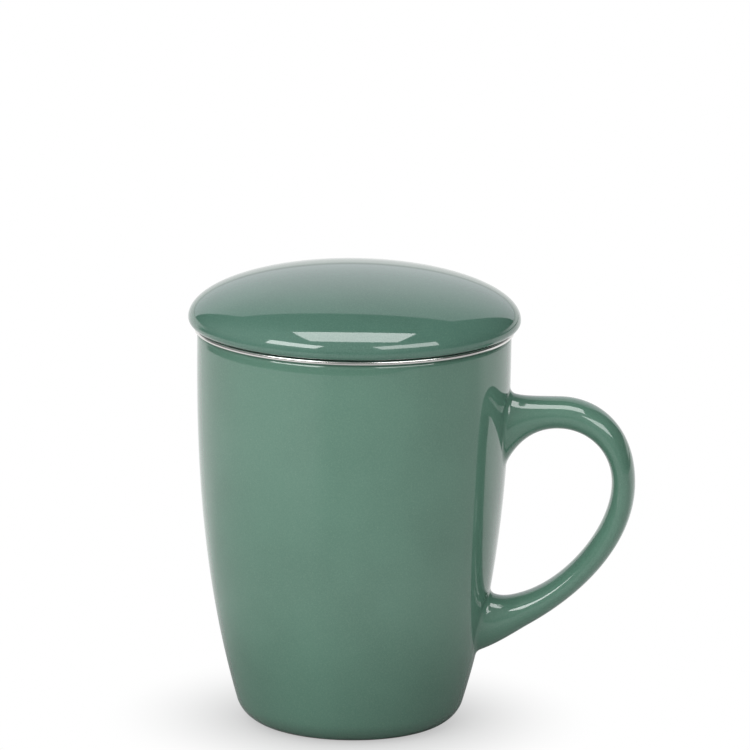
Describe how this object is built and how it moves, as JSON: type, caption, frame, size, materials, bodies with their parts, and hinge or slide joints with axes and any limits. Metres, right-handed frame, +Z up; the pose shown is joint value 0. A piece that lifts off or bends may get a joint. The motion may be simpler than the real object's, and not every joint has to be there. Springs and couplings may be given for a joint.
{
  "type": "lidded tea mug with infuser",
  "caption": "Barrel-shaped stoneware tea mug with a loop handle, a lift-out stainless mesh infuser hung by its flange, and a domed lid that sits on the flange.",
  "frame": {"origin": "centre of the foot ring, in the plane the mug stands on, on the mug's axis", "axes": "+Z up along the mug's axis through the infuser and the lid, +X from the axis towards the handle, +Y across the handle"},
  "size_m": [0.1232, 0.091, 0.1265],
  "materials": {
    "green_glaze": "gloss",
    "polished_steel": "polished",
    "woven_steel": "woven wire"
  },
  "bodies": {
    "mug": {"mug_body": "green_glaze", "mug_handle": "green_glaze"},
    "infuser": {"infuser_rim": "polished_steel", "infuser_mesh": "woven_steel"},
    "lid": {"lid": "green_glaze"}
  },
  "joints": [
    {"name": "infuser_lift", "type": "slide", "parent": "mug", "child": "infuser", "axis": [0, 0, 1], "range_m": [0, 0.052]},
    {"name": "lid_lift", "type": "slide", "parent": "infuser", "child": "lid", "axis": [0, 0, 1], "range_m": [0, 0.015]}
  ]
}
